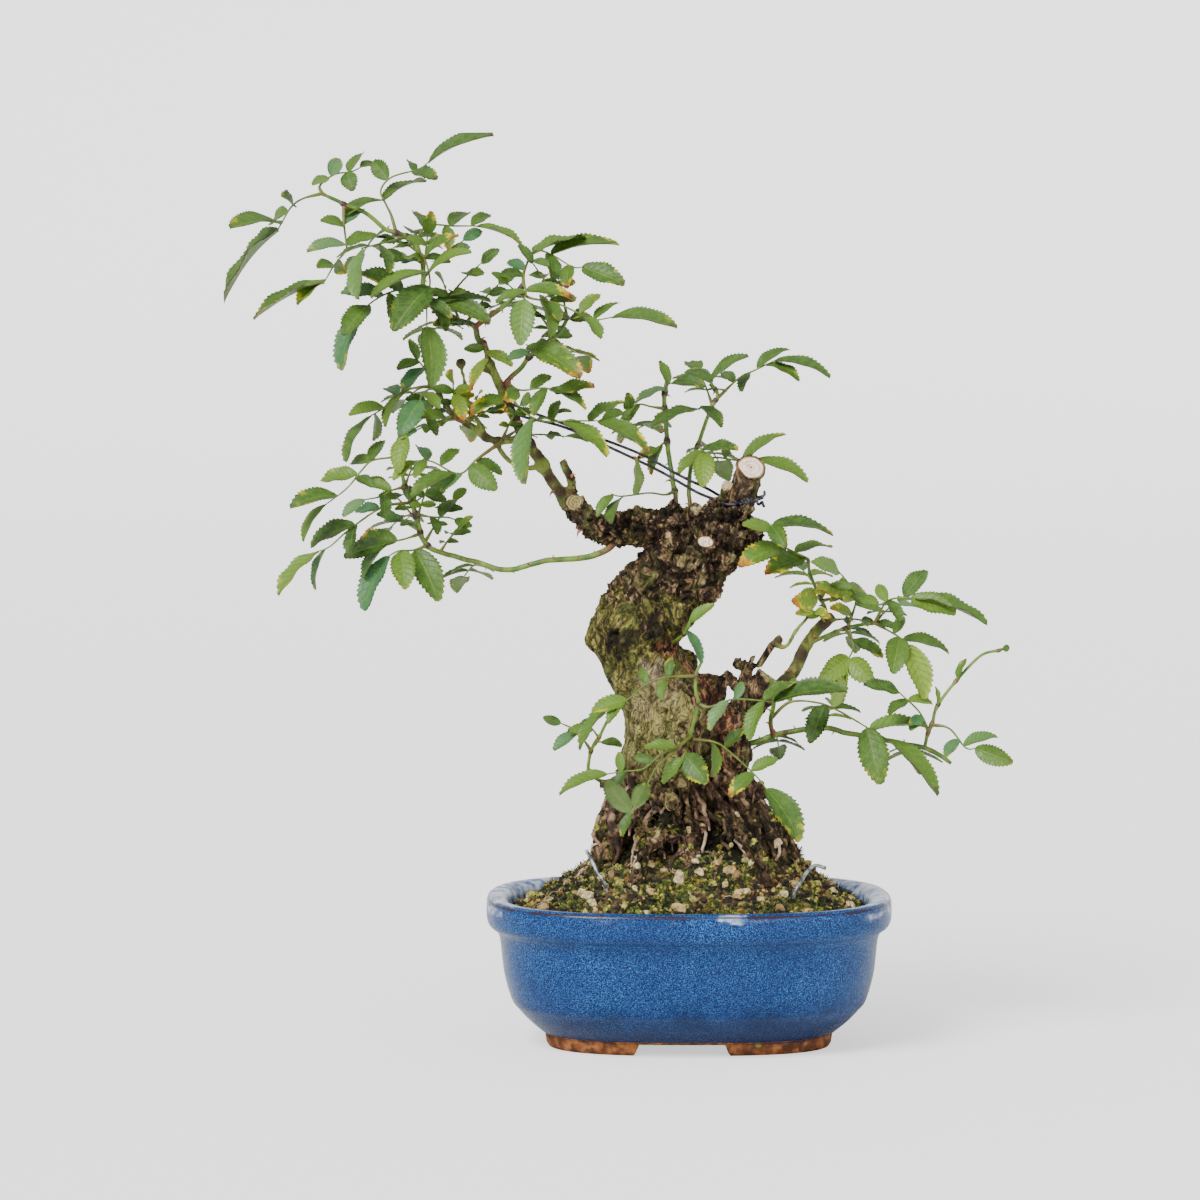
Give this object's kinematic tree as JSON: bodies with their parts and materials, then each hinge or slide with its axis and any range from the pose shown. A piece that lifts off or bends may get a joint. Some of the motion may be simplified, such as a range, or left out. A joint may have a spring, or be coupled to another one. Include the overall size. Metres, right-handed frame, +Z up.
{
  "type": "bonsai tree in a pot",
  "caption": "Shrub rose trained as a bonsai: a leaning old trunk with bare roots and leafy shoots on a mound of mossy soil in a squarish oval glazed pot.",
  "frame": {"origin": "on the ground, at the middle of the whole object's footprint in X and Y", "axes": "+Z up, +X along the pot's long side towards the right of the picture, -Y towards the viewer of the picture"},
  "size_m": [0.2904, 0.1184, 0.3379],
  "materials": {
    "pot": "speckled blue gloss glaze, bare terracotta foot",
    "drain_mesh": "matte",
    "soil": "rough granular soil with moss and pumice",
    "tie_wire": "dull",
    "bark": "rough bark with pale cut faces",
    "guy_wire": "dark satin",
    "leaf": "satin green leaves with yellow and bronze edges"
  },
  "bodies": {
    "root": {"pot": "pot", "drain_mesh_left": "drain_mesh", "drain_mesh_right": "drain_mesh", "soil": "soil", "tie_wire": "tie_wire", "trunk": "bark", "guy_wire": "guy_wire", "shoot_crown": "leaf", "shoot_mid_right": "leaf", "shoot_mid_left": "leaf", "shoot_mid_low": "leaf", "shoot_low_left": "leaf", "shoot_back_left": "leaf", "shoot_back_right": "leaf", "shoot_right_top": "leaf", "shoot_right_upper": "leaf", "shoot_right_long": "leaf", "shoot_front": "leaf", "shoot_left_twig": "leaf", "shoot_bud": "leaf"}
  },
  "joints": []
}
